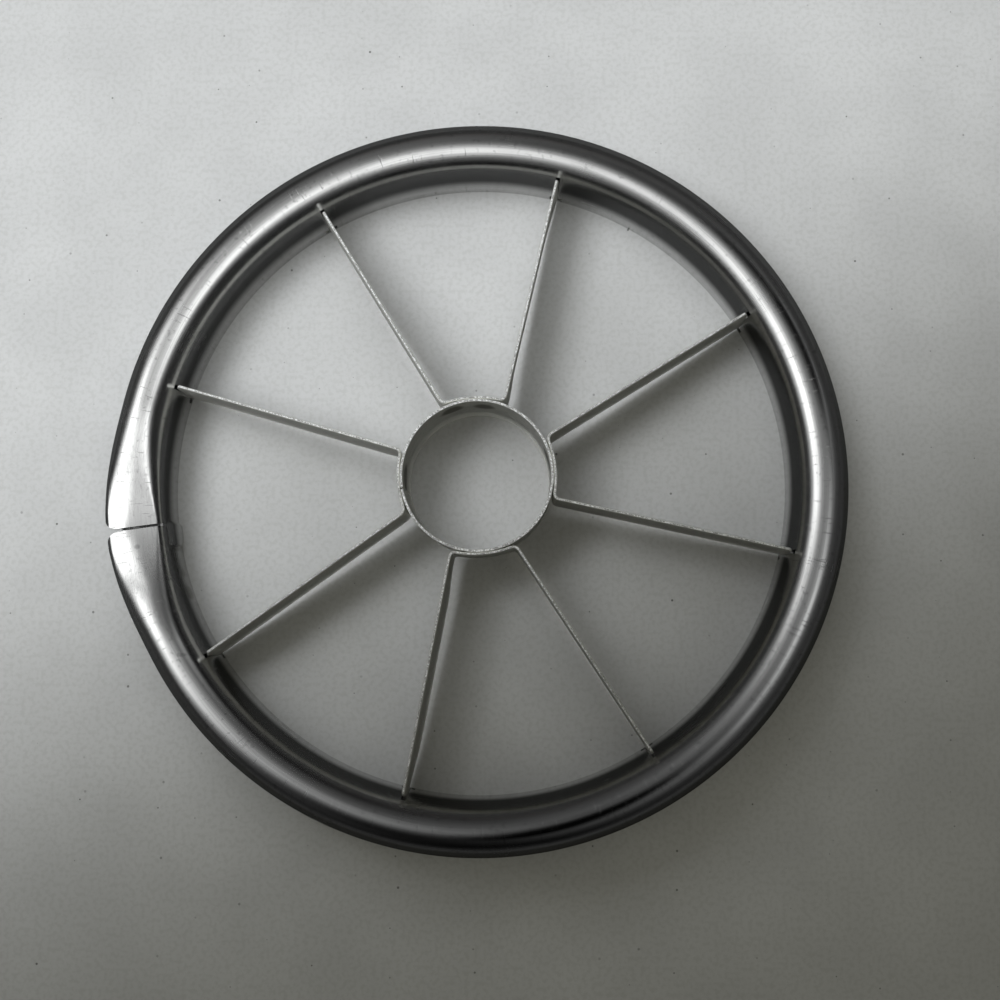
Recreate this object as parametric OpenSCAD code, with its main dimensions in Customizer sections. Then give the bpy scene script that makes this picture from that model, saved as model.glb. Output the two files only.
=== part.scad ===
// Apple corer and wedger: a rolled sheet-steel rim, a core ring at its middle, and four
// U-bent blade strips that give eight spokes. Each strip wraps the core ring, where it is
// spot-welded, and its two ends go through slots in the rim's band.
// Millimetres, +Z up. The band stands on z = 0, and the Z axis is the rim's axis.

/* [Rim] */
// Outside diameter of the rim
rim_d = 108; // [100:0.5:120]
// Diameter of the rolled bead
bead_d = 7.5; // [6.5:0.1:8.5]
// Height of the bead's middle above the table
bead_z = 6; // [5.5:0.1:7]
// Thickness of the rim's sheet
rim_sheet = 0.5; // [0.3:0.05:0.7]
// Part of the bead's turn left open beside the band, in degrees
curl_open = 35; // [30:1:60]

/* [Seam] */
// Direction of the seam where the rim's two ends meet, in degrees
seam_at = 188.2; // [186:0.1:190]
// Gap between the two ends
seam_gap = 0.3; // [0.1:0.05:1]
// Length of the pinched stretch on each side of the seam, in degrees
pinch_span = 21; // [16:0.5:22]
// How far the pinched bead swells outwards at the seam
pinch_swell = 1.3; // [0.4:0.1:2]
// How far the pinched bead's crown is pressed down at the seam
pinch_press = 1.9; // [0.4:0.1:2.4]
// How square the bead's section is pressed at the seam, from 0, round
pinch_square = 0.42; // [0:0.02:0.5]
// Radius of the rounded outer corners at the seam
seam_corner = 1.6; // [0.5:0.1:3]
// Length of the tab that laps behind the seam, in degrees
lap_reach = 3.8; // [2:0.1:6]
// Clearance between the lapped tab and the band
lap_clear = 0.05; // [0.02:0.01:0.2]
// Length of the joggle where the tab leaves its own band, in degrees
lap_joggle = 1.2; // [0.6:0.1:2]
// Radius of the tab's lower corner
lap_corner = 2; // [0.5:0.1:3]

/* [Core ring] */
// Bore of the core ring
core_bore = 21.2; // [18:0.2:25]
// Thickness of the core ring's strip
core_sheet = 0.4; // [0.3:0.05:0.7]
// Height of the core ring
core_h = 11.2; // [9:0.1:14]
// Direction of the core ring's butt joint, in degrees
core_joint_at = 190; // [186:1:194]
// Gap in the butt joint
core_joint_gap = 0.15; // [0.1:0.05:0.5]

/* [Blade strips] */
// Thickness of a blade strip
blade_t = 0.4; // [0.25:0.05:0.6]
// Depth of a blade strip
blade_h = 9.2; // [8:0.1:9.6]
// Depth of a strip's necked ends, which go through the slots
neck_h = 7.2; // [5.5:0.1:7.4]
// Length over which a blade's upper corner is cut away down to its neck
neck_run = 0.8; // [0.4:0.1:2]
// Height of the blades' cutting edge at the rim
blade_foot = 0.4; // [0.3:0.05:0.9]
// How much higher the blades sit at the core ring than at the rim
blade_rise = 1.6; // [0:0.1:2]
// Length of a blade's level part beside the core ring
flat_run = 2; // [1:0.25:5]
// Radius of a strip's middle, slacker than the core ring so that it touches at its weld
wrap_r = 15; // [14:0.5:20]
// Length of the bend at each end of a strip's middle
bend_run = 0.9; // [0.6:0.05:1.1]
// Clearance between a strip and the core ring at the weld
weld_clear = 0.03; // [0.02:0.01:0.1]

/* [Slots and tabs] */
// Clearance on each side of a blade in its slot
slot_clear = 0.12; // [0.1:0.01:0.25]
// Length of the relief across a slot's foot
relief_w = 2; // [1.4:0.1:3]
// Height of the relief across a slot's foot
relief_h = 1; // [0.6:0.1:1.6]
// Length of the tab folded behind the band
tab_run = 1.8; // [1.2:0.1:3]
// Height of the folded tab
tab_h = 2; // [1:0.1:2.2]
// Clearance between a folded tab and the band
tab_clear = 0.1; // [0.05:0.01:0.2]
// How far a blade's end stands past the band
end_reach = 0.1; // [0.05:0.01:0.15]

/* [Hidden] */
$fn = 96;

// Names for the two ends of a strip in the tables below
FIRST = 0;
LAST = 1;
// Directions of the slots that each strip's ends go through, in degrees. They are fitted by
// hand, so they stray a few degrees from even eighths and spread round the seam.
slot_at_right = [-13.3, 31.4];
slot_at_top = [75.2, 120.1];
slot_at_left = [163, 213.3];
slot_at_bottom = [257.1, 302.3];
// Directions of each strip's two bends beside the core ring, in degrees
bend_at_right = [-16.9, 29.1];
bend_at_top = [69.7, 115.9];
bend_at_left = [161.5, 207.2];
bend_at_bottom = [251.3, 299.1];

// Rim
bead_r = bead_d / 2;
rim_r = rim_d / 2;
bead_c = rim_r - bead_r;
band_in = bead_c - bead_r;
band_out = band_in + rim_sheet;
curl_steps = 32;
seam_half = seam_gap / 2 / rim_r * 180 / PI;
// Rings along a pinched end
pinch_rings = 14;
// The pinched ends start inside the plain rim's sheet, by this inset and overlap, and
// have left it after this part of their length
join_inset = 0.05;
join_overlap = 0.4;
join_part = 1 / 3;

// Core ring
core_r = core_bore / 2;
core_out = core_r + core_sheet;

// Blade strips
blade_top = blade_foot + blade_h;
neck_top = blade_foot + neck_h;
weld_r = core_out + weld_clear + blade_t / 2;
flat_r = core_out + flat_run;
blade_end = band_out + end_reach;
tab_mid = band_out + tab_clear + blade_t / 2;
tab_bend = 1.4 * blade_t;
bend_steps = 5;
wrap_steps = 10;
fold_steps = 5;

// Slots
slot_w = blade_t + 2 * slot_clear;
slot_foot = blade_foot - slot_clear;
slot_top = neck_top + slot_clear;
// How far a slot is cut past the band's inner face, and past its outer one, where the
// curl's free edge is near
cut_inner = 1;
cut_outer = 0.1;

// ---------------------------------------------------------------- rim

// A sine or cosine pressed towards a square corner
function squared(v, p) = sign(v) * pow(abs(v), p);

// A smooth step from 0 to 1
function eased(u) = u * u * (3 - 2 * u);

// A point on the bead's section: turn a, depth below the skin, and pinch s from 0 to 1
function bead_point(a, depth, s) =
    let (
        half_w = bead_r + s * pinch_swell / 2,
        half_h = bead_r - s * pinch_press / 2,
        p = 1 - pinch_square * s
    )
    [
        band_in + half_w + (half_w - depth) * squared(cos(a), p),
        bead_z - s * pinch_press / 2 + (half_h - depth) * squared(sin(a), p)
    ];

// One skin of the rim's sheet, from the band's foot up and round the curl. An inset holds
// the foot and the curl's free edge back by the same amount.
function rim_skin(depth, s, inset) =
    let (turn = 360 - curl_open - inset / bead_r * 180 / PI)
    [
        [band_in + depth, inset],
        for (i = [0 : curl_steps]) bead_point(180 - i * turn / curl_steps, depth, s)
    ];

function reversed(list) = [for (i = [len(list) - 1 : -1 : 0]) list[i]];

// The sheet's closed section in plan radius and height
function rim_section() = concat(rim_skin(0, 0, 0), reversed(rim_skin(rim_sheet, 0, 0)));

// How far back the seam's rounded corner lies at plan radius r, as an angle
function corner_back(r) =
    let (reach = max(0, r - (rim_r + pinch_swell - seam_corner)) / seam_corner)
    seam_corner * (1 - sqrt(max(0, 1 - pow(min(1, reach), 2)))) / rim_r * 180 / PI;

function turned(p, a) = [p[0] * cos(a), p[0] * sin(a), p[1]];

// One pinched end: rings of both skins, lofted from the plain rim to the seam
module pinched_end(from, to) {
    side = sign(to - from);
    rings = [
        for (i = [0 : pinch_rings])
            let (
                u = i / pinch_rings,
                inset = join_inset * max(0, 1 - u / join_part),
                a = from + (to - from) * u,
                outer = rim_skin(inset, eased(u), inset),
                inner = rim_skin(rim_sheet - inset, eased(u), inset),
                back = i == pinch_rings ? side : 0
            )
            [for (p = concat(outer, inner)) turned(p, a - back * corner_back(p[0]))]
    ];
    skin_n = curl_steps + 2;
    ring_n = 2 * skin_n;
    // Both skins' points in one closed order: out along the outer skin, back along the inner
    loop = concat([for (k = [0 : skin_n - 1]) k], [for (k = [ring_n - 1 : -1 : skin_n]) k]);
    walls = [
        for (i = [0 : pinch_rings - 1], k = [0 : ring_n - 1])
            let (
                k2 = (k + 1) % ring_n,
                a = i * ring_n + loop[k],
                b = i * ring_n + loop[k2],
                c = (i + 1) * ring_n + loop[k2],
                d = (i + 1) * ring_n + loop[k]
            )
            each [[a, b, c], [a, c, d]]
    ];
    last = pinch_rings * ring_n;
    caps = [
        for (k = [0 : skin_n - 2])
            let (o = k, o2 = k + 1, n = skin_n + k, n2 = skin_n + k + 1)
            each [
                [o, n, n2], [o, n2, o2],
                [last + o, last + n2, last + n], [last + o, last + o2, last + n2]
            ]
    ];
    faces = concat(walls, caps);
    polyhedron(
        points = [for (ring = rings) each ring],
        faces = side > 0 ? [for (f = faces) reversed(f)] : faces,
        convexity = 6
    );
}

// The plain rolled rim, everywhere but the pinched stretch
module plain_rim() {
    rotate([0, 0, seam_at + pinch_span])
        rotate_extrude(angle = 360 - 2 * pinch_span, $fn = 180)
            polygon(rim_section());
}

// The tab that joggles inwards and laps behind the other end's band
module lap_tab() {
    lap_in = band_in - lap_clear - rim_sheet;
    lap_foot = blade_foot;
    lap_h = bead_z - lap_foot;
    start = seam_at - seam_half - 2 * lap_joggle;
    finish = seam_at + lap_reach;
    difference() {
        union() {
            rotate([0, 0, start])
                rotate_extrude(angle = finish - start, $fn = 180)
                    translate([lap_in, lap_foot]) square([rim_sheet, lap_h]);
            // The joggle, half way between the tab and the band
            rotate([0, 0, start])
                rotate_extrude(angle = lap_joggle, $fn = 180)
                    translate([lap_in + rim_sheet / 2, lap_foot])
                        square([rim_sheet, lap_h - rim_sheet]);
        }
        // Rounded lower corner
        rotate([0, 0, finish]) translate([lap_in, 0, lap_foot]) difference() {
            translate([-rim_sheet, -lap_corner, -lap_corner])
                cube([3 * rim_sheet, 2 * lap_corner, 2 * lap_corner]);
            translate([-2 * rim_sheet, -lap_corner, lap_corner])
                rotate([0, 90, 0]) cylinder(r = lap_corner, h = 5 * rim_sheet, $fn = 48);
        }
    }
}

// The hole that takes one blade: a slit with a wider relief across its foot
module slot(at) {
    start = band_in - cut_inner;
    run = band_out + cut_outer - start;
    rotate([0, 0, at]) {
        translate([start, -slot_w / 2, slot_foot])
            cube([run, slot_w, bead_z - slot_foot]);
        // Above the band, the sheet leans outwards into the bead
        translate([start, -slot_w / 2, bead_z - rim_sheet])
            cube([run + rim_sheet, slot_w, slot_top - bead_z + rim_sheet]);
        translate([start, -relief_w / 2, slot_foot])
            cube([run, relief_w, relief_h]);
    }
}

module rim_ring() {
    color([0.56, 0.57, 0.58]) difference() {
        union() {
            plain_rim();
            pinched_end(seam_at - pinch_span - join_overlap, seam_at - seam_half);
            pinched_end(seam_at + pinch_span + join_overlap, seam_at + seam_half);
            lap_tab();
        }
        for (pair = [slot_at_right, slot_at_top, slot_at_left, slot_at_bottom])
            for (end = [FIRST, LAST])
                slot(pair[end]);
    }
}

// ---------------------------------------------------------------- core ring

module core_ring() {
    joint_half = core_joint_gap / 2 / core_r * 180 / PI;
    color([0.62, 0.62, 0.61])
        rotate([0, 0, core_joint_at + joint_half])
            rotate_extrude(angle = 360 - 2 * joint_half)
                translate([core_r, 0]) square([core_sheet, core_h]);
}

// ---------------------------------------------------------------- blade strips

function polar(r, a) = [r * cos(a), r * sin(a)];
function unit(v) = v / norm(v);
function left_of(v) = [-v[1], v[0]];

// Radius at which a strip's slack middle lies, at angle b off its own direction
function wrap_reach(b) =
    let (d = wrap_r - weld_r)
    sqrt(wrap_r * wrap_r - pow(d * sin(b), 2)) - d * cos(b);

// A round bend from p to q about the corner k
function bend(p, k, q, n) = [
    for (i = [0 : n])
        let (u = i / n)
        (1 - u) * (1 - u) * p + 2 * u * (1 - u) * k + u * u * q
];

// The outer half of a spoke's middle line, from the bend to its end. A folded end turns
// behind the band, away from the strip's other spoke.
function spoke_line(corner, at, away, folded) =
    let (
        mouth = polar((band_in + band_out) / 2, at),
        dir = unit(mouth - corner),
        fold_k = mouth + dir * (tab_mid - (band_in + band_out) / 2),
        side = left_of(unit(fold_k)) * away
    )
    folded
        ? bend(fold_k + side * tab_bend, fold_k, fold_k - dir * tab_bend, fold_steps)
        : [mouth + dir * (blade_end - (band_in + band_out) / 2)];

// The whole middle line of a strip in plan, from the last slot back to the first
function strip_line(bends, slots, folded) =
    let (
        mid = (bends[FIRST] + bends[LAST]) / 2,
        half = (bends[LAST] - bends[FIRST]) / 2,
        k1 = polar(wrap_reach(half), bends[FIRST]),
        k2 = polar(wrap_reach(half), bends[LAST]),
        mouth1 = polar((band_in + band_out) / 2, slots[FIRST]),
        mouth2 = polar((band_in + band_out) / 2, slots[LAST]),
        turn = bend_run / wrap_reach(half) * 180 / PI,
        b1 = half - turn,
        q1 = polar(wrap_reach(b1), mid - b1),
        q2 = polar(wrap_reach(b1), mid + b1),
        out1 = spoke_line(k1, slots[FIRST], -1, folded),
        out2 = spoke_line(k2, slots[LAST], 1, folded),
        fold1 = polar(tab_mid, slots[FIRST]) - left_of(polar(1, slots[FIRST])) * tab_run,
        fold2 = polar(tab_mid, slots[LAST]) + left_of(polar(1, slots[LAST])) * tab_run
    )
    concat(
        folded ? [fold1] : [],
        out1,
        bend(k1 + unit(mouth1 - k1) * bend_run, k1, q1, bend_steps),
        [for (i = [1 : wrap_steps - 1])
            let (b = -b1 + 2 * b1 * i / wrap_steps)
            polar(wrap_reach(b), mid + b)],
        bend(q2, k2, k2 + unit(mouth2 - k2) * bend_run, bend_steps),
        reversed(out2),
        folded ? [fold2] : []
    );

// The strip's outline in plan: its middle line, half a thickness to each side
function strip_outline(line) =
    let (
        n = len(line),
        side = [
            for (i = [0 : n - 1])
                left_of(unit(line[min(i + 1, n - 1)] - line[max(i - 1, 0)])) * blade_t / 2
        ]
    )
    concat(
        [for (i = [0 : n - 1]) line[i] + side[i]],
        [for (i = [n - 1 : -1 : 0]) line[i] - side[i]]
    );

// The space between the blades' two edges, which rises from the rim to the core ring. At
// the rim the upper edge drops to the neck, so that the end passes below the bead.
module blade_envelope() {
    rotate_extrude($fn = 180) polygon([
        [core_r, blade_foot + blade_rise],
        [flat_r, blade_foot + blade_rise],
        [band_in, blade_foot],
        [rim_r, blade_foot],
        [rim_r, neck_top],
        [band_in, neck_top],
        [band_in - neck_run, blade_top],
        [flat_r, blade_top + blade_rise],
        [core_r, blade_top + blade_rise]
    ]);
}

// One U-bent strip, with a tab folded at the foot of each end
module blade_strip(bends, slots) {
    tab_top = blade_foot + tab_h;
    color([0.68, 0.68, 0.66]) intersection() {
        union() {
            linear_extrude(tab_top)
                polygon(strip_outline(strip_line(bends, slots, true)));
            linear_extrude(blade_top + blade_rise)
                polygon(strip_outline(strip_line(bends, slots, false)));
        }
        blade_envelope();
    }
}

module blade_strip_right() { blade_strip(bend_at_right, slot_at_right); }
module blade_strip_top() { blade_strip(bend_at_top, slot_at_top); }
module blade_strip_left() { blade_strip(bend_at_left, slot_at_left); }
module blade_strip_bottom() { blade_strip(bend_at_bottom, slot_at_bottom); }

rim_ring();
core_ring();
blade_strip_right();
blade_strip_top();
blade_strip_left();
blade_strip_bottom();
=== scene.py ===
# %% [markdown]
# # A rolled-rim apple corer and wedger in brushed steel
#
# The real tool is six pieces of stainless sheet: a rim whose upper part is rolled into a
# hollow bead, a core ring, and four strips bent into a U that give the eight blades. The
# imported CAD model gives every place and size, in metres with +Z up. This notebook dresses it:
# each piece is built again as thin sheet with soft edges and burrs, and the steel gets its
# brushing, scratches and heat marks from shader nodes, along with painted shade where a dent is
# and painted glints on the burrs.

# %% Load the frame
import math
import random

import bmesh
import bpy
from mathutils import Euler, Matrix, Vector


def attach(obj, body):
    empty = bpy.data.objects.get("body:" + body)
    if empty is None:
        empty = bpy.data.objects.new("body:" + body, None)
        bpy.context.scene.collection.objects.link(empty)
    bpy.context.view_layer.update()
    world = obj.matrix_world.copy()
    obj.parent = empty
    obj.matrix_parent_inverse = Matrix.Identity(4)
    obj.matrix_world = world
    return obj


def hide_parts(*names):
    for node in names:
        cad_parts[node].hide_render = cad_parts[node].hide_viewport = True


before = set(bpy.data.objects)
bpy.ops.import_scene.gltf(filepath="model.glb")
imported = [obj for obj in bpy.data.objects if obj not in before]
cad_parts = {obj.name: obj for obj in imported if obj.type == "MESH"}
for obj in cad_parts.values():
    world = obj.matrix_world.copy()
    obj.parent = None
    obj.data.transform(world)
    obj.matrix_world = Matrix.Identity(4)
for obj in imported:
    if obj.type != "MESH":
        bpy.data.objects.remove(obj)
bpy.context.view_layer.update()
MM = 0.001
print("nodes:", sorted(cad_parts))

# %% [markdown]
# ## The sizes that the pieces share
#
# These are the CAD model's own values in millimetres, so that each dressed piece lands on the
# node it stands for. Only the seam's gap and its worn corners are a little wider than in the
# CAD, as use has made them. Directions are in degrees about the rim's axis, counted from +X.

# %% Sizes
RIM_R, BEAD_R, BEAD_Z, RIM_SHEET = 54.0, 3.75, 6.0, 0.5
BEAD_C = RIM_R - BEAD_R
BAND_IN = BEAD_C - BEAD_R
SEAM_AT, SEAM_GAP = 188.2, 0.42
PINCH_SPAN, PINCH_SWELL, PINCH_PRESS, PINCH_SQUARE = 21.0, 1.3, 1.9, 0.42
SEAM_CORNER = 2.3
CORE_R, CORE_SHEET, CORE_H = 10.6, 0.4, 11.2
CORE_JOINT_AT = 190.0
BLADE_T, BLADE_H, BLADE_FOOT, BLADE_RISE = 0.4, 9.2, 0.4, 1.6
NECK_H, NECK_RUN = 7.2, 0.8
TAB_RUN, TAB_H, LAP_REACH = 1.8, 2.0, 3.8
WRAP_R, BEND_RUN, WELD_CLEAR = 15.0, 0.9, 0.03
SLOT_W, RELIEF_W, SLOT_FOOT, RELIEF_H = 0.64, 2.0, 0.28, 1.0
SLOT_TOP = BLADE_FOOT + NECK_H + 0.12
STRIPS = {
    "right": ((-13.3, 31.4), (-16.9, 29.1)),
    "top": ((75.2, 120.1), (69.7, 115.9)),
    "left": ((163.0, 213.3), (161.5, 207.2)),
    "bottom": ((257.1, 302.3), (251.3, 299.1)),
}
slot_directions = [a for slots, _ in STRIPS.values() for a in slots]
print("slots at", slot_directions)

# %% [markdown]
# ## The camera
#
# The photograph looks almost straight down from close by, so the rim's inner face shows all
# the way round. The place and the small tilt were solved from the rim's edges in the picture.

# %% Camera
camera_data = bpy.data.cameras.new("camera")
camera_data.lens, camera_data.sensor_width = 36, 36
camera_data.clip_start, camera_data.clip_end = 0.01, 20
CAMERA_SPOT, TILT_NORTH, TILT_EAST = (5.9, -18.3, 152.1), 5.95, 1.05
camera = bpy.data.objects.new("camera", camera_data)
camera.location = Vector(CAMERA_SPOT) * MM
camera.rotation_euler = Euler((math.radians(TILT_NORTH), math.radians(TILT_EAST), 0))
bpy.context.scene.collection.objects.link(camera)
bpy.context.scene.camera = camera
print("camera at", tuple(round(v, 4) for v in camera.location))

# %% [markdown]
# ## Shader maths as Python
#
# Node graphs get long when every sum needs three lines. `Wire` wraps one output socket and
# overloads the operators, so `1 - mask * 0.5` adds its own Math nodes. `node` makes any other
# node: its settings first, then the values or links of its sockets.

# %% Shader helper
class Wire:
    """One output socket of a node tree, with arithmetic."""

    def __init__(self, tree, socket):
        self.tree, self.socket = tree, socket

    def math(self, operation, *values):
        return node(self.tree, "ShaderNodeMath", {"operation": operation}, dict(enumerate(values)))

    def __add__(self, other):
        return self.math("ADD", self, other)

    def __mul__(self, other):
        return self.math("MULTIPLY", self, other)

    def __sub__(self, other):
        return self.math("SUBTRACT", self, other)

    def __rsub__(self, other):
        return self.math("SUBTRACT", other, self)

    def __truediv__(self, other):
        return self.math("DIVIDE", self, other)

    def __pow__(self, other):
        return self.math("POWER", self, other)

    __radd__, __rmul__ = __add__, __mul__

    def clamped(self):
        return self.math("MINIMUM", self.math("MAXIMUM", self, 0.0), 1.0)

    def ramp(self, low, high):
        """0 below low, 1 above high, smooth between."""
        return node(
            self.tree,
            "ShaderNodeMapRange",
            {"interpolation_type": "SMOOTHSTEP"},
            {"Value": self, "From Min": low, "From Max": high},
        )


def node(tree, kind, settings=None, inputs=None, output=0):
    """Adds a node, sets it up, fills its sockets, and returns one of its outputs."""
    made = tree.nodes.new(kind)
    for name, value in (settings or {}).items():
        setattr(made, name, value)
    for name, value in (inputs or {}).items():
        if isinstance(value, Wire):
            tree.links.new(value.socket, made.inputs[name])
        else:
            made.inputs[name].default_value = value
    return Wire(tree, made.outputs[output]) if made.outputs else None


def grey(value):
    return (value, value, value, 1.0)


def blended(tree, factor, first, second):
    """A colour mix of two colours or links. The node keeps its colour sockets at 6, 7 and 2."""
    inputs = {0: factor, 6: first, 7: second}
    return node(tree, "ShaderNodeMix", {"data_type": "RGBA"}, inputs, output=2)


def shader_mix(tree, factor, first, second):
    return node(tree, "ShaderNodeMixShader", {}, {0: factor, 1: first, 2: second})


def vector_math(tree, operation, first, second):
    return node(tree, "ShaderNodeVectorMath", {"operation": operation}, {0: first, 1: second})


def cloudy(tree, vector, scale, detail=2.0):
    """Soft noise, from about 0.25 to 0.75."""
    inputs = {"Vector": vector, "Scale": scale, "Detail": detail}
    return node(tree, "ShaderNodeTexNoise", {}, inputs)


def from_axes(tree, x, y, z):
    return node(tree, "ShaderNodeCombineXYZ", {}, {"X": x, "Y": y, "Z": z})


def object_place(tree):
    """Where a point lies on its piece. All pieces sit at the origin, so it is the frame's own."""
    return node(tree, "ShaderNodeTexCoord", output="Object")


def of_ray(tree, question):
    """What the Light Path node says of the ray that asks."""
    return node(tree, "ShaderNodeLightPath", output=question)


def parts_of(tree, vector):
    """The three numbers of a vector."""
    split = node(tree, "ShaderNodeSeparateXYZ", {}, {"Vector": vector}).socket.node
    return [Wire(tree, split.outputs[i]) for i in range(3)]


def new_tree(owner):
    owner.use_nodes = True
    owner.node_tree.nodes.clear()
    return owner.node_tree


print("shader helper ready")

# %% Mesh helpers
def link_object(name, mesh):
    made = bpy.data.objects.new(name, mesh)
    bpy.context.scene.collection.objects.link(made)
    return made


def mesh_from(name, build):
    """Turns what bmesh has built into a mesh, and frees the builder."""
    mesh = bpy.data.meshes.new(name)
    build.to_mesh(mesh)
    build.free()
    return mesh


print("mesh helpers ready")

# %% [markdown]
# ## The board and the wall
#
# The tool lies on a pale board. It has a cloudy grain and a few dark specks, made from noise
# and from Voronoi cells. Two things are told by Light Path, which knows what kind of ray asks.
# The photograph's steel mirrors a dark room, so mirror rays see the board darker than it is,
# except right beside the steel. And far from the tool the board and the wall become one pale
# backdrop for the camera, which needs no extra light on the tool.

# %% Board and wall
FLOOR_HALF, FLOOR_CELLS, WALL_H, WALL_SIDES = 3.0, 24, 1.5, 48
stage_build = bmesh.new()
cells = {"x_segments": FLOOR_CELLS, "y_segments": FLOOR_CELLS}
bmesh.ops.create_grid(stage_build, size=FLOOR_HALF, **cells)
for i in range(WALL_SIDES):
    a, b = (2 * math.pi * k / WALL_SIDES for k in (i, i + 1))
    low = [(FLOOR_HALF * math.cos(t), FLOOR_HALF * math.sin(t), 0) for t in (a, b)]
    wall = [*low, *[(x, y, WALL_H) for x, y, _ in reversed(low)]]
    stage_build.faces.new([stage_build.verts.new(Vector(c)) for c in wall])
stage_mesh = mesh_from("board_and_wall", stage_build)
board = link_object("board_and_wall", stage_mesh)
print("board half width and wall height:", FLOOR_HALF, WALL_H)

# %% Board paint
CLOUD_SCALE, GRAIN_SCALE, SPECK_SCALE = 60.0, 1400.0, 170.0
PALE, PALER = 0.495, 0.55
GRAIN_SHADE, SPECK_SHADE = (0.3, 0.3, 0.28, 1), (0.08, 0.08, 0.075, 1)
GRAIN_COVER, SPECK_MOST = 0.2, 0.042
board_paint = bpy.data.materials.new("pale_board")
tree = new_tree(board_paint)
place = object_place(tree)
cloud = cloudy(tree, place, CLOUD_SCALE, 8.0)
on_board = {"voronoi_dimensions": "2D"}
dot_at = {"Vector": place, "Scale": SPECK_SCALE}
dot_gap = node(tree, "ShaderNodeTexVoronoi", on_board, dot_at)
dot_chance = node(tree, "ShaderNodeTexVoronoi", on_board, dot_at, output="Color")
dot_pick, dot_shade, _ = parts_of(tree, dot_chance)
dot_size = dot_pick * dot_pick * dot_pick * SPECK_MOST
specks = (1 - (dot_gap / dot_size).ramp(0.6, 1.0)) * (dot_shade * 0.6 + 0.25)
grain = cloudy(tree, place, GRAIN_SCALE, 6.0)
board_tone = blended(tree, cloud.ramp(0.25, 0.75), grey(PALE), grey(PALER))
board_tone = blended(tree, grain.ramp(0.42, 0.66) * GRAIN_COVER, board_tone, GRAIN_SHADE)
board_tone = blended(tree, specks, board_tone, SPECK_SHADE)
print("board greys:", PALE, PALER)

# %% What the steel and the camera see of the board
MIRROR_DIM, DIM_FROM, DIM_FULL = 0.87, 1.5 * MM, 5.0 * MM
BACKDROP_FROM, BACKDROP_FULL, BACKDROP_COVER = 0.105, 0.17, 0.92
BACKDROP_TINT, BACKDROP_LEVEL, BACKDROP_IN_STEEL = (0.97, 0.98, 1.0, 1), 0.62, 0.05
mirrored = of_ray(tree, "Is Glossy Ray")
mirror_dim = mirrored * of_ray(tree, "Ray Length").ramp(DIM_FROM, DIM_FULL) * MIRROR_DIM
board_tone = blended(tree, mirror_dim, board_tone, grey(0.0))
board_look = {"Base Color": board_tone, "Roughness": 0.6, "Specular IOR Level": 0.0}
board_skin = node(tree, "ShaderNodeBsdfPrincipled", {}, board_look)
east, north, _ = parts_of(tree, place)
far = ((east * east + north * north) ** 0.5).ramp(BACKDROP_FROM, BACKDROP_FULL)
seen = of_ray(tree, "Is Camera Ray") + mirrored * BACKDROP_IN_STEEL
seen = (seen + of_ray(tree, "Is Transmission Ray")).clamped()
backdrop_look = {"Color": BACKDROP_TINT, "Strength": BACKDROP_LEVEL}
backdrop = node(tree, "ShaderNodeEmission", {}, backdrop_look)
board_skin = shader_mix(tree, far * seen * BACKDROP_COVER, board_skin, backdrop)
node(tree, "ShaderNodeOutputMaterial", {}, {"Surface": board_skin})
stage_mesh.materials.append(board_paint)
print("pale backdrop from", BACKDROP_FROM, "to", BACKDROP_FULL, "m off the axis")

# %% [markdown]
# ## The sky that the steel mirrors
#
# Steel shows its surroundings more than its own colour, so the surroundings matter most here.
# The world is dim, with a few soft patches of light. A patch's place is given in a flat map
# of the upper half sphere: its middle is straight overhead and its edge, at 1, the horizon.
# Matte rays skip all that and see one even warm fill, so the patches draw bright lines along
# the bead and leave the board alone.

# %% World
SKY_BASE = 0.047
# Place east and north, half width and level of each patch
SKY_LOBES = [
    (0.182, -0.053, 0.058, 2.14),
    (-0.315, -0.038, 0.119, 2.62),
    (-0.252, -0.02, 0.327, 0.234),
    (0.028, -0.132, 0.128, 1.89),
    (0.31, 0.19, 0.06, 1.3),
    (-0.35, 0.1, 0.08, 1.6),
]
FILL_TINT, FILL_LEVEL = (1.0, 0.97, 0.8, 1), 0.12
NEAR_TINT, FAR_TINT = (0.99, 1.0, 1.0, 1), (1.15, 0.82, 0.76, 1)
UP_SHIFT = 1.0001


def lobe(u, v, at_u, at_v, half_u, half_v):
    """A soft patch: 1 at its middle, falling off as a bell."""
    du, dv = (u - at_u) / half_u, (v - at_v) / half_v
    return du.math("EXPONENT", (du * du + dv * dv) * -0.5)


world = bpy.data.worlds.new("studio")
bpy.context.scene.world = world
tree = new_tree(world)
east, north, up = parts_of(tree, node(tree, "ShaderNodeTexCoord", output="Generated"))
lean_east, lean_north = east / (up + UP_SHIFT), north / (up + UP_SHIFT)
reflected = SKY_BASE
for at_u, at_v, half, level in SKY_LOBES:
    reflected = lobe(lean_east, lean_north, at_u, at_v, half, half) * level + reflected
fill_look = {"Color": FILL_TINT, "Strength": FILL_LEVEL}
soft_fill = node(tree, "ShaderNodeBackground", {}, fill_look)
# The room's far end is reddish, the rest almost neutral
room = blended(tree, lean_north.ramp(0.4, 1.0), NEAR_TINT, FAR_TINT)
mirror_sky = node(tree, "ShaderNodeBackground", {}, {"Color": room, "Strength": reflected})
sky = shader_mix(tree, of_ray(tree, "Is Diffuse Ray"), mirror_sky, soft_fill)
node(tree, "ShaderNodeOutputWorld", {}, {"Surface": sky})
print("patches of light in the sky:", len(SKY_LOBES))

# %% [markdown]
# ## Lamps, a panel and two screens
#
# Two soft lamps light the matte surfaces and cast the spokes' shadows, and the steel doesn't
# mirror them. A dim panel beside the tool keeps part of their light off the near end of the
# board, which gives the picture's fall of light from the top left to the bottom right. The
# panel glows faintly, because a black one would shade too deeply. Two clear screens overhead
# do the opposite job: only mirror rays see them, and they are dark in places, where the bead
# mirrors dark corners of the room.

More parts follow.
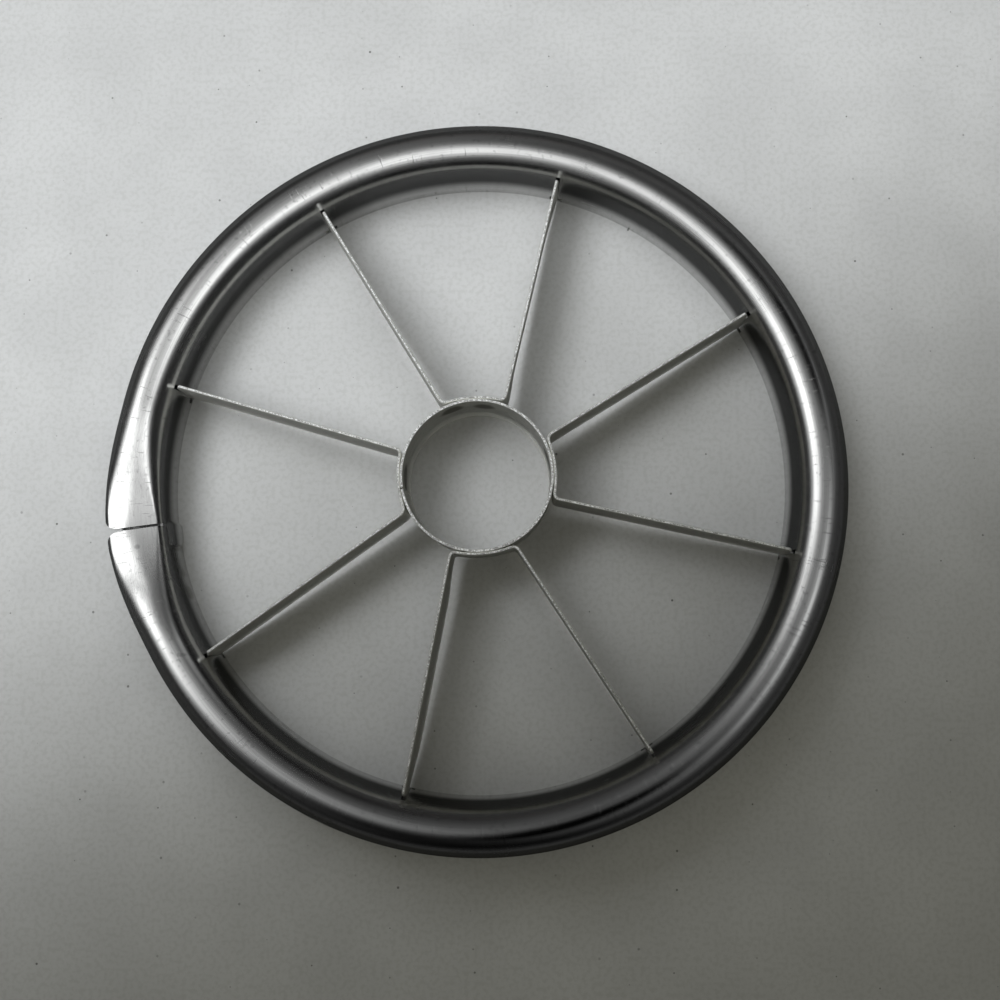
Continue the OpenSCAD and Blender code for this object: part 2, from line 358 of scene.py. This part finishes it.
# %% Lamp maker
def area_lamp(name, spot, target, size, watts, tint):
    """A soft oblong lamp at spot, turned towards target, all in millimetres."""
    data = bpy.data.lights.new(name, "AREA")
    data.shape, data.size, data.size_y = "RECTANGLE", size[0] * MM, size[1] * MM
    data.energy, data.color = watts, tint
    lamp = bpy.data.objects.new(name, data)
    lamp.location = Vector(spot) * MM
    lamp.rotation_euler = (Vector(target) - Vector(spot)).to_track_quat("-Z", "Y").to_euler()
    lamp.visible_camera = lamp.visible_glossy = False
    bpy.context.scene.collection.objects.link(lamp)


print("lamp maker ready")

# %% Screens
SCREEN_HALF = 400


def flag(name, corners, finish, shade_only):
    """A flat screen that only shades lamps, or only shows in reflections."""
    build = bmesh.new()
    build.faces.new([build.verts.new(Vector(c) * MM) for c in corners])
    mesh = mesh_from(name, build)
    mesh.materials.append(finish)
    made = link_object(name, mesh)
    made.visible_camera = made.visible_transmission = made.visible_volume_scatter = False
    made.visible_shadow = made.visible_diffuse = shade_only
    made.visible_glossy = not shade_only


def soft_screen(height, patches):
    """A black screen that is dense only where its patches are, in millimetres."""
    cloth = bpy.data.materials.new(f"soft_screen_{height:.0f}")
    tree = new_tree(cloth)
    spot_x, spot_y, _ = parts_of(tree, object_place(tree))
    dark = 0.0
    for at_x, at_y, half_x, half_y, level in patches:
        dark = lobe(spot_x * 1000, spot_y * 1000, at_x, at_y, half_x, half_y) * level + dark
    clear = node(tree, "ShaderNodeBsdfTransparent")
    shut = node(tree, "ShaderNodeBsdfDiffuse", {}, {"Color": grey(0.0)})
    cover = shader_mix(tree, dark.clamped(), clear, shut)
    node(tree, "ShaderNodeOutputMaterial", {}, {"Surface": cover})
    sides = ((-1, -1), (1, -1), (1, 1), (-1, 1))
    corners = [(x * SCREEN_HALF, y * SCREEN_HALF, height) for x, y in sides]
    flag(f"screen_{height:.0f}", corners, cloth, False)


# For each height: place, half widths and density of the dark patches
SCREENS = {
    92.0: [(55, -33.4, 28.2, 49.1, 0.63), (31.6, 76.2, 46.7, 36, 0.75), (102, 51, 28, 28, 0.9)],
    41.0: [
        (0.6, -111.7, 70.9, 65.4, 0.97),
        (-42, -59.2, 38.6, 18.8, 0.31),
        (40, -36, 13, 12, 0.28),
        (25, -49, 13, 12, 0.27),
        (9, -56, 12, 11, 0.12),
        (-57, -9, 7, 7, 0.3),
    ],
}
for height, patches in SCREENS.items():
    soft_screen(height, patches)
print("dark patches overhead:", sum(len(patches) for patches in SCREENS.values()))

# %% Dim panel
PANEL_Z, PANEL_TINT, PANEL_LEVEL = 72, (1.0, 0.99, 0.84, 1), 0.215
dim_panel = bpy.data.materials.new("dim_panel")
tree = new_tree(dim_panel)
glow = node(tree, "ShaderNodeEmission", {}, {"Color": PANEL_TINT, "Strength": PANEL_LEVEL})
node(tree, "ShaderNodeOutputMaterial", {}, {"Surface": glow})
panel_plan = ((-500, -192), (-500, -700), (500, -700), (500, 228))
flag("shade", [(x, y, PANEL_Z) for x, y in panel_plan], dim_panel, True)
print("panel at height", PANEL_Z)

# %% Lamps
DAYLIGHT = (0.95, 0.98, 1.0)
TOOL_MIDDLE = (0, 0, 0)
area_lamp("window", (-370, 100, 600), TOOL_MIDDLE, (600, 300), watts=2.4, tint=DAYLIGHT)
area_lamp("bright_wall", (-170, 250, 620), TOOL_MIDDLE, (1100, 1100), watts=5.0, tint=DAYLIGHT)
bpy.context.scene.view_settings.view_transform = "Standard"
print("lamps ready")

# %% [markdown]
# ## Brushed steel
#
# Every piece is the same stainless sheet, but each was worked differently. The lines of the
# brushing are noise, stretched along the way that the belt ran: round the axis on the rim and
# core ring, and along the strip on a blade. Dirt, pits and the lines each darken the steel a
# little, and they also change its roughness and its bump, so that they show in the highlights.

# %% Marks, nicks, burrs and painted glints
def marked(tree, place, ragged, shade, marks):
    """Adds stains and spots of painted shade, each a ragged ball: middle, half sizes, depth and
    tint, in millimetres.
    """
    for middle, halves, depth, mark_tint in marks:
        away = vector_math(tree, "SUBTRACT", place, [v * MM for v in middle])
        away = vector_math(tree, "DIVIDE", away, [v * MM for v in halves])
        length = {"operation": "LENGTH"}
        gap = node(tree, "ShaderNodeVectorMath", length, {0: away}, output="Value")
        cover = (1 - (gap + ragged).ramp(0.5, 1.0)) * depth
        shade = blended(tree, cover, shade, (*mark_tint, 1))
    return shade


def nicks(tree, turn, radius, z):
    """Short cuts across the bead, where it knocked against other tools."""
    spot = from_axes(tree, turn * 260.0, radius * 0.35, z * 350)
    return cloudy(tree, spot, 1.0, 1.0).ramp(0.68, 0.74)


def burrs_and_painted_glints(tree, place, top, shade, metallic):
    """Upward edges as the shears left them: torn and darker, with bright matte speckles of tone
    top that are painted glints.
    """
    normal = node(tree, "ShaderNodeNewGeometry", output="Normal")
    _, _, faces_up = parts_of(tree, normal)
    facing_up = faces_up.ramp(0.85, 0.97)
    # Painted glints: bright speckles on the faces that look up, where light catches the teeth.
    glint = facing_up * cloudy(tree, place, 4500.0).ramp(0.42, 0.6)
    shade = blended(tree, facing_up * 0.9, shade, grey(top * 0.22))
    return blended(tree, glint, shade, grey(top)), metallic * (1 - facing_up)


print("marks, nicks and burrs ready")

# %% [markdown]
# ## One finish, several settings
#
# The arguments tell the pieces apart. tone and tint give the colour, rough the polish, and
# metal how much of the steel mirrors: the rim is polished all over, and the strips and the
# core ring keep the dull skin of the rolled sheet. grime and ticks add wear, marks add stains
# and painted shade, and top paints bright glints on the upward edges, as painted highlights.

# %% Steel finish
DIRT_SCALE, PIT_SCALE = 90.0, 1400.0
# How much of the steel each kind of wear covers, and how dark it is there
DIRT_TONE, PIT_COVER, PIT_TONE = 0.55, 0.4, 0.4
LINE_COVER, LINE_TONE, NICK_COVER, NICK_TONE = 0.35, 0.6, 0.5, 0.35
# How much lines, patches and dirt change the polish
LINE_ROUGH, PATCH_ROUGH, DIRT_ROUGH = 0.16, 0.1, 0.2
# The bump's depth and strength, and the share of lines, pits and nicks in it
BUMP_DEPTH, BUMP_STRENGTH, LINE_H, PIT_H, NICK_H = 0.02 * MM, 0.35, 0.6, 0.25, 1.5


def steel(
    name, tone, tint, rough, around=True, marks=(), grime=0.25, ticks=0.0, metal=1.0, top=0.0
):
    """A brushed stainless finish."""
    paint = bpy.data.materials.new(name)
    tree = new_tree(paint)
    place = object_place(tree)
    x, y, z = parts_of(tree, place)
    radius = (x * x + y * y) ** 0.5 * 1000
    turn = x.math("ARCTAN2", y, x)
    along = turn * 10.0 if around else radius * 0.25
    across = radius if around else turn * 3.0
    lines = cloudy(tree, from_axes(tree, along * 0.35, across * 6.0, z * 6000), 1.0, 3.0)
    patch = cloudy(tree, place, DIRT_SCALE, 3.0)
    pits = cloudy(tree, place, PIT_SCALE)
    dirt = patch.ramp(0.5, 0.75) * grime
    clean, dirty = ((*[tone * c * part for c in tint], 1) for part in (1.0, DIRT_TONE))
    shade = blended(tree, dirt, clean, dirty)
    shade = blended(tree, pits.ramp(0.6, 0.74) * PIT_COVER, shade, grey(tone * PIT_TONE))
    shade = blended(tree, lines.ramp(0.4, 0.75) * LINE_COVER, shade, grey(tone * LINE_TONE))
    shade = marked(tree, place, (patch - 0.5) * 0.9, shade, marks)
    roughness = rough + (lines - 0.5) * LINE_ROUGH + (patch - 0.5) * PATCH_ROUGH
    roughness = (roughness + dirt * DIRT_ROUGH).clamped()
    height, metallic = lines * LINE_H + pits * PIT_H, metal
    if ticks:
        nick = nicks(tree, turn, radius, z) * ticks
        shade = blended(tree, nick * NICK_COVER, shade, grey(tone * NICK_TONE))
        height = height - nick * NICK_H
    if top:
        shade, metallic = burrs_and_painted_glints(tree, place, top, shade, metallic)
    relief = {"Strength": BUMP_STRENGTH, "Distance": BUMP_DEPTH, "Height": height}
    normal = node(tree, "ShaderNodeBump", {}, relief)
    look = {"Base Color": shade, "Metallic": metallic, "Roughness": roughness, "Normal": normal}
    body = node(tree, "ShaderNodeBsdfPrincipled", {}, look)
    node(tree, "ShaderNodeOutputMaterial", {}, {"Surface": body})
    return paint


print("steel finish ready")

# %% Rim and blade finishes
# A faint warm tint in the dull steel of the strips and the core ring: painted reflection of the
# warm board.
MIRRORED_BOARD_TINT = (1.0, 1.0, 0.95)
rim_stains_and_dent_shade = [
    # The first spot is painted shade where a dent sits beside the seam; the second darkens the
    # outer flank just past the seam.
    ((-54.8, -5.7, 6.5), (0.6, 1.3, 1.5), 0.85, (0.03, 0.03, 0.05)),
    ((-54.6, -8.4, 6.0), (0.9, 0.6, 1.6), 0.6, (0.05, 0.05, 0.05)),
    # A smudge of dirt on the bead's top, then brownish marks on the band's inner face by the lap.
    ((-49.5, -10.0, 7.8), (0.6, 0.5, 0.9), 0.4, (0.1, 0.1, 0.1)),
    ((-43.5, -16.5, 2.5), (1.3, 1.6, 2.0), 0.55, (0.12, 0.11, 0.09)),
    ((-44.5, -13.6, 2.5), (1.0, 1.0, 1.6), 0.45, (0.12, 0.11, 0.09)),
    ((-45.3, -10.0, 3.2), (0.8, 0.5, 2.6), 0.5, (0.1, 0.09, 0.08)),
]
rim_finish = steel("rim_steel", 0.62, (1.0, 1.0, 0.99), 0.22, marks=rim_stains_and_dent_shade, ticks=0.8)
blade_finish = steel(
    "blade_steel", 0.95, MIRRORED_BOARD_TINT, 0.36, around=False, metal=0.64, top=0.85, grime=0.6
)
print("finishes:", rim_finish.name, blade_finish.name)

# %% [markdown]
# ## Working thin sheet
#
# Pressed and rolled sheet is easiest to make as a single skin: rows of points run along the
# section, columns run along the strip, and faces join them. A Solidify modifier then gives
# the skin its real thickness, and a small Bevel breaks the sharp edges, as deburring does.

# %% Sheet helpers
EDGE_STEPS, SHARP_FROM = 2, 50


def skin_object(name, points, thickness, finish, cut=None, edge=0.06):
    """Joins a grid of points (columns of rows, in millimetres) into a sheet object."""
    columns, rows = len(points), len(points[0])
    build = bmesh.new()
    grid = [[build.verts.new(Vector(p) * MM) for p in column] for column in points]
    for i in range(columns - 1):
        for j in range(rows - 1):
            if cut and cut(i, j):
                continue
            build.faces.new((grid[i][j], grid[i][j + 1], grid[i + 1][j + 1], grid[i + 1][j]))
    loose = [v for v in build.verts if not v.link_faces]
    bmesh.ops.delete(build, geom=loose, context="VERTS")
    for face in build.faces:
        face.smooth = True
    made = link_object(name, mesh_from(name, build))
    made.data.materials.append(finish)
    solid = made.modifiers.new("thickness", "SOLIDIFY")
    solid.thickness, solid.offset = thickness * MM, -1
    soften_edges(made, edge)
    return made


def soften_edges(made, width):
    """Rounds the edges that are sharper than a rolled sheet's own bends."""
    bevel = made.modifiers.new("soft_edges", "BEVEL")
    bevel.width, bevel.segments = width * MM, EDGE_STEPS
    bevel.limit_method, bevel.angle_limit = "ANGLE", math.radians(SHARP_FROM)
    bevel.harden_normals = True


def keep(made, node_name):
    """The piece rides on the tool and stands for its CAD node, which it hides."""
    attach(made, "root")
    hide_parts(node_name)
    print(node_name, "->", made.name, len(made.data.vertices), "points")


def clamp(u):
    return min(1.0, max(0.0, u))


def eased(u):
    """From 0 to 1 with a soft start and end."""
    u = clamp(u)
    return u * u * (3 - 2 * u)


def squared(value, power):
    """Pushes a sine or cosine outwards, which turns a circle into a rounded square."""
    return math.copysign(abs(value) ** power, value)


def on_axis(r, degrees, z):
    """A point from its distance to the axis, its direction and its height."""
    a = math.radians(degrees)
    return (r * math.cos(a), r * math.sin(a), z)


print("sheet helpers ready")

# %% [markdown]
# ## The rim
#
# The rim starts as a flat strip. Its upper part is curled outwards over a wire-like form,
# which makes the bead, and the strip is rolled into a hoop. Where the two ends meet, the bead
# was squeezed flat in a press, so its section grows wider and lower there and its top turns
# into two flats. The skin below is the sheet's outer face: up the band's inner wall, then
# round the bead to the curl's free edge.

# %% Rim section
BEAD_STEP, BEAD_STEPS = 4, 82
# The pressed flats: how deep they cut, where they part, and how steeply they fall and rise
FACET_CUT, FACET_SPLIT, FACET_FALL, FACET_RISE = 0.1, 5.4, 0.14, 0.08
FACET_DRIFT, FLANK_RUN, FLANK_FALL = 0.2, 3.0, 0.32
FACET_GROWTH, FACET_DELAY, ROUND_INSIDE = 2, 0.8, 1


def bead_point(a, s, from_end):
    """Plan radius and height on the bead at turn a, pinched by s from 0 to 1."""
    half_w = BEAD_R + s * PINCH_SWELL / 2
    half_h = BEAD_R - s * PINCH_PRESS / 2
    power = 1 - PINCH_SQUARE * s
    c, n = math.cos(math.radians(a)), math.sin(math.radians(a))
    r = BAND_IN + half_w + half_w * squared(c, power)
    z = BEAD_Z - s * PINCH_PRESS / 2 + half_h * squared(n, power)
    crown = BEAD_Z + BEAD_R - s * PINCH_PRESS - FACET_CUT
    past = r - BAND_IN - FACET_SPLIT + FACET_DRIFT * from_end
    outer, inner = crown - past * FACET_FALL, crown + past * FACET_RISE
    flank = crown - FLANK_RUN * FACET_FALL - (past - FLANK_RUN) * FLANK_FALL
    pressed = min(z, outer, inner, flank) if n > 0 and r > BAND_IN + ROUND_INSIDE else z
    return r, z + (pressed - z) * eased(FACET_GROWTH * s - FACET_DELAY)


slot_top_turn = 180 - math.degrees(math.asin((SLOT_TOP - BEAD_Z) / BEAD_R))
band_rows = [0, SLOT_FOOT, SLOT_FOOT + RELIEF_H, 2.2, 3.2, 4.2, 5.2]
even_rows = [180 - BEAD_STEP * i for i in range(BEAD_STEPS)]
bead_rows = sorted(even_rows + [slot_top_turn], reverse=True)
section_n = len(band_rows) + len(bead_rows)
print("rows in the rim's section:", section_n)

# %% Rim columns
COLUMN_STEP, FINE_STEP, KEEP_OFF, END_ROOM = 0.9, 0.5, 0.2, 0.4
seam_half = math.degrees(SEAM_GAP / 2 / RIM_R)
slit_half = math.degrees(SLOT_W / 2 / BAND_IN)
relief_half = math.degrees(RELIEF_W / 2 / BAND_IN)
start, finish = SEAM_AT + seam_half, SEAM_AT + 360 - seam_half
turns = {start, finish}
for at in slot_directions:
    turned_at = at if at > SEAM_AT else at + 360
    turns |= {turned_at + side * half for side in (-1, 1) for half in (slit_half, relief_half)}
step = start
while step < finish - END_ROOM:
    near_seam = min(step - start, finish - step) < PINCH_SPAN
    step += FINE_STEP if near_seam else COLUMN_STEP
    if min(abs(step - t) for t in turns) > KEEP_OFF:
        turns.add(step)
turns = sorted(turns)
print("columns round the rim:", len(turns))

# %% Rim points
WORN_SPAN = 4


def rim_point(turn, j):
    """One point of the rim's outer skin, with its hand-made faults."""
    from_end = min(turn - start, finish - turn)
    s = eased(1 - from_end / (PINCH_SPAN - seam_half))
    if j < len(band_rows):
        r, z = BAND_IN, band_rows[j]
    else:
        r, z = bead_point(bead_rows[j - len(band_rows)], s, from_end)
    back = 0.0
    if from_end < WORN_SPAN:
        reach = max(0.0, r - (RIM_R + PINCH_SWELL - SEAM_CORNER)) / SEAM_CORNER
        arc = SEAM_CORNER * (1 - math.sqrt(max(0.0, 1 - min(1.0, reach) ** 2)))
        back = math.degrees(arc / RIM_R) * (1 - from_end / WORN_SPAN)
    away = back if turn - start < finish - turn else -back
    return on_axis(r, turn + away, z)


def in_slot(i, j):
    """True where the slots leave the sheet open: wide at the foot, narrow up to the bead."""
    middle = (turns[i] + turns[i + 1]) / 2
    off = min(abs((middle - at + 180) % 360 - 180) for at in slot_directions)
    if j == 0:
        return False
    low_rows = j < 2
    high_row = j < len(band_rows) or bead_rows[j - len(band_rows)] > slot_top_turn
    return (low_rows and off < relief_half) or (high_row and off < slit_half)


print("rim points ready")

# %% Rim skin
rim_points = [[rim_point(t, j) for j in range(section_n)] for t in turns]
rim = skin_object("rim", rim_points, RIM_SHEET, rim_finish, cut=in_slot)
print("rim columns by rows:", len(rim_points), "by", section_n)

# %% [markdown]
# ## The lap behind the seam
#
# One end of the band runs on behind the other as a small tab. It steps inwards by the sheet's
# thickness, so that it lies on the other end's inner face, its free corner is rounded, and its
# top leans back into the bead.

# %% Lap
LAP_BACK, LAP_STEPS, LAP_ROWS, JOGGLE_RUN = 2.4, 40, 8, 1.2
LAP_FOOT, LAP_TOP, LAP_LEAN, LEAN_FROM, LEAN_RUN = 0.4, 6.4, 0.3, 4.4, 2.0
CORNER_RUN, CORNER_RISE = 2.5, 2.0
LAP_CLEAR, LAP_SINK = 0.05, 0.01
lap_step = RIM_SHEET + LAP_CLEAR
lap_points = []
for i in range(LAP_STEPS + 1):
    past_seam = i * (LAP_REACH + LAP_BACK) / LAP_STEPS - LAP_BACK
    corner = max(0.0, (past_seam - LAP_REACH + CORNER_RUN) / CORNER_RUN)
    low = LAP_FOOT + CORNER_RISE * (1 - math.sqrt(max(0.0, 1 - corner**2)))
    inward = lap_step * eased((past_seam + JOGGLE_RUN) / JOGGLE_RUN) + LAP_SINK
    heights = [low + (LAP_TOP - low) * k / LAP_ROWS for k in range(LAP_ROWS + 1)]
    leans = [inward - (inward + LAP_LEAN) * eased((z - LEAN_FROM) / LEAN_RUN) for z in heights]
    turn = SEAM_AT + past_seam
    lap_points.append([on_axis(BAND_IN - lean, turn, z) for lean, z in zip(leans, heights)])
lap = skin_object("lap", lap_points, RIM_SHEET, rim_finish)
keep(lap, "rim_ring")
keep(rim, "rim_ring")

# %% [markdown]
# ## The core ring
#
# A short strip rolled into a tube. Its ends only butt, so a hair line stays where they meet.
# The spot welds that hold the blade strips left brownish marks on it.

# %% Core ring
WELDS = ((85, 7.5), (110, 8.0), (15, 7.0), (180, 7.5), (265, 7.0))
WELD_HALVES, WELD_DEPTH, WELD_TINT = (2.2, 2.2, 2.2), 0.75, (0.1, 0.09, 0.07)
core_marks = [(on_axis(CORE_R, a, z), WELD_HALVES, WELD_DEPTH, WELD_TINT) for a, z in WELDS]
core_finish = steel(
    "core_steel", 0.95, MIRRORED_BOARD_TINT, 0.32, marks=core_marks, metal=0.64, top=0.85, grime=0.6
)
CORE_JOINT_HALF, CORE_STEPS = 0.4, 144
core_heights = (0, 0.5, 1.5, 3, 5, 7, 9, 10.5, CORE_H)
core_points = []
for i in range(CORE_STEPS + 1):
    u = i / CORE_STEPS
    turn = CORE_JOINT_AT + CORE_JOINT_HALF + u * (360 - 2 * CORE_JOINT_HALF)
    core_points.append([on_axis(CORE_R, turn, z) for z in core_heights])
core = skin_object("core", core_points, CORE_SHEET, core_finish, edge=0.1)
keep(core, "core_ring")

# %% [markdown]
# ## The blade strips
#
# One strip gives two blades: its middle wraps the core ring, and each end runs out through a
# slot in the rim. The middle line comes from the same bends as the CAD model's, and the strip
# is swept along it with a ground lower edge and a burred upper one.

# %% Blade lines
def flat(r, degrees):
    return Vector((r * math.cos(math.radians(degrees)), r * math.sin(math.radians(degrees))))


WELD_R = CORE_R + CORE_SHEET + WELD_CLEAR + BLADE_T / 2
TAB_CLEAR = 0.1
BLADE_END = BAND_IN + RIM_SHEET + TAB_CLEAR
MOUTH_R = BAND_IN + RIM_SHEET / 2
POINT_GAP, BEND_STEPS, WRAP_STEPS = 0.35, 8, 24


def wrap_reach(b):
    """How far from the axis a strip's wrap lies, b degrees off its middle."""
    d = WRAP_R - WELD_R
    b = math.radians(b)
    return math.sqrt(WRAP_R**2 - (d * math.sin(b)) ** 2) - d * math.cos(b)


def curve(p, k, q, n):
    """Points on a bend from p to q that is drawn towards k."""
    steps = [i / n for i in range(n + 1)]
    return [(1 - t) ** 2 * p + 2 * t * (1 - t) * k + t * t * q for t in steps]


def spread(p, q, gap):
    """Points from p to q, about gap apart, without the last."""
    n = max(1, round((q - p).length / gap))
    return [p + (q - p) * i / n for i in range(n)]


def strip_line(slots, bends):
    """The whole middle line of a strip, from one blade's end to the other's."""
    mid, half = (bends[0] + bends[1]) / 2, (bends[1] - bends[0]) / 2
    reach = wrap_reach(half)
    corners = [flat(reach, b) for b in bends]
    mouths = [flat(MOUTH_R, a) for a in slots]
    ways = [(m - c).normalized() for m, c in zip(mouths, corners)]
    ends = [m + w * (BLADE_END - MOUTH_R) for m, w in zip(mouths, ways)]
    turn = math.degrees(BEND_RUN / reach)
    inner = half - turn
    starts = [c + w * BEND_RUN for c, w in zip(corners, ways)]
    first = curve(starts[0], corners[0], flat(wrap_reach(inner), mid - inner), BEND_STEPS)
    offs = [-inner + 2 * inner * i / WRAP_STEPS for i in range(1, WRAP_STEPS)]
    middle = [flat(wrap_reach(b), mid + b) for b in offs]
    last = curve(flat(wrap_reach(inner), mid + inner), corners[1], starts[1], BEND_STEPS)
    runs = spread(ends[0], starts[0], POINT_GAP), spread(starts[1], ends[1], POINT_GAP)
    return runs[0] + first + middle + last[:-1] + runs[1] + [ends[1]]


lines = {name: strip_line(*values) for name, values in STRIPS.items()}
print("points along each strip:", {name: len(line) for name, line in lines.items()})

# %% Blade edges
FLAT_R, NECK_R = CORE_R + CORE_SHEET + 2, BAND_IN - NECK_RUN
TIP_BACK, TIP_RUN = 0.1, 0.3


def blade_edges(r):
    """Heights of the strip's foot and top at plan radius r. Its ends are necked."""
    foot = BLADE_FOOT + BLADE_RISE * clamp((BAND_IN - r) / (BAND_IN - FLAT_R))
    if r > NECK_R:
        fall = (BLADE_H - NECK_H) * (1 - clamp((BAND_IN - r) / NECK_RUN))
        tip = (NECK_H - TAB_H) * clamp((r - BAND_IN + TIP_BACK) / TIP_RUN)
        return foot, BLADE_FOOT + BLADE_H - fall - tip
    return foot, BLADE_FOOT + BLADE_H + BLADE_RISE * clamp((NECK_R - r) / (NECK_R - FLAT_R))


print("foot and top beside the core:", blade_edges(FLAT_R))

# %% Blade sweep
GROUND_HALF, GROUND_H, BURR_H, BURR_SHARE = 0.05, 0.3, 0.12, 0.45
TEETH = 0.14
# How far the foot of one blade leans aside, in millimetres
LEANS = {"bottom": -0.36, "top": -0.3}
LEAN_IN, LEAN_OUT = 6, 8


def sweep(build, line, edges, lean, picker):
    """Adds a swept bar of sheet: ground below, toothed by the shears above."""
    t = BLADE_T / 2
    grid = []
    for i, p in enumerate(line):
        way = (line[min(i + 1, len(line) - 1)] - line[max(i - 1, 0)]).normalized()
        side = Vector((-way.y, way.x))
        foot, top = edges(p.length)
        top -= picker.uniform(0.0, TEETH)
        over = lean * eased((BAND_IN - p.length) / LEAN_OUT)
        over *= eased((p.length - FLAT_R) / LEAN_IN) if i < len(line) / 2 else 0.0
        ground = [(GROUND_HALF, foot), (t, foot + GROUND_H)]
        half = ground + [(t, (foot + top) / 2), (t, top - BURR_H), (t * BURR_SHARE, top)]
        ring = half + [(-o, h) for o, h in reversed(half)]
        spots = [(p + side * (o + over * (top - h) / (top - foot)), h) for o, h in ring]
        grid.append([build.verts.new(Vector((q.x, q.y, h)) * MM) for q, h in spots])
    n = len(grid[0])
    for a, b in zip(grid, grid[1:]):
        for k in range(n):
            build.faces.new((a[k], b[k], b[(k + 1) % n], a[(k + 1) % n]))
    build.faces.new(list(reversed(grid[0])))
    build.faces.new(grid[-1])


print("blade sweep ready")

# %% Whole strips
TAB_STEPS, CREASE = 6, 35


def folded_tab(slot, away):
    """The line of a strip's end, folded along the rim's outside."""
    r, reach = BLADE_END + TAB_CLEAR, math.degrees(TAB_RUN / BLADE_END) * away
    return [flat(r, slot + reach * k / TAB_STEPS) for k in range(TAB_STEPS + 1)]


def tab_edges(_r):
    """A tab is as high all along."""
    return BLADE_FOOT, BLADE_FOOT + TAB_H


def strip_object(name, line, slots, seed):
    """One whole strip with both its folded tabs."""
    picker = random.Random(seed)
    build = bmesh.new()
    sweep(build, line, blade_edges, LEANS.get(name, 0.0), picker)
    for slot, away in zip(slots, (-1, 1)):
        sweep(build, folded_tab(slot, away), tab_edges, 0.0, picker)
    bmesh.ops.recalc_face_normals(build, faces=build.faces)
    for face in build.faces:
        face.smooth = True
    for e in build.edges:
        if len(e.link_faces) == 2 and e.calc_face_angle() > math.radians(CREASE):
            e.smooth = False
    made = link_object("blades_" + name, mesh_from("blades_" + name, build))
    made.data.materials.append(blade_finish)
    return made


for number, (name, line) in enumerate(lines.items()):
    made = strip_object(name, line, STRIPS[name][0], number)
    keep(made, "blade_strip_" + name)
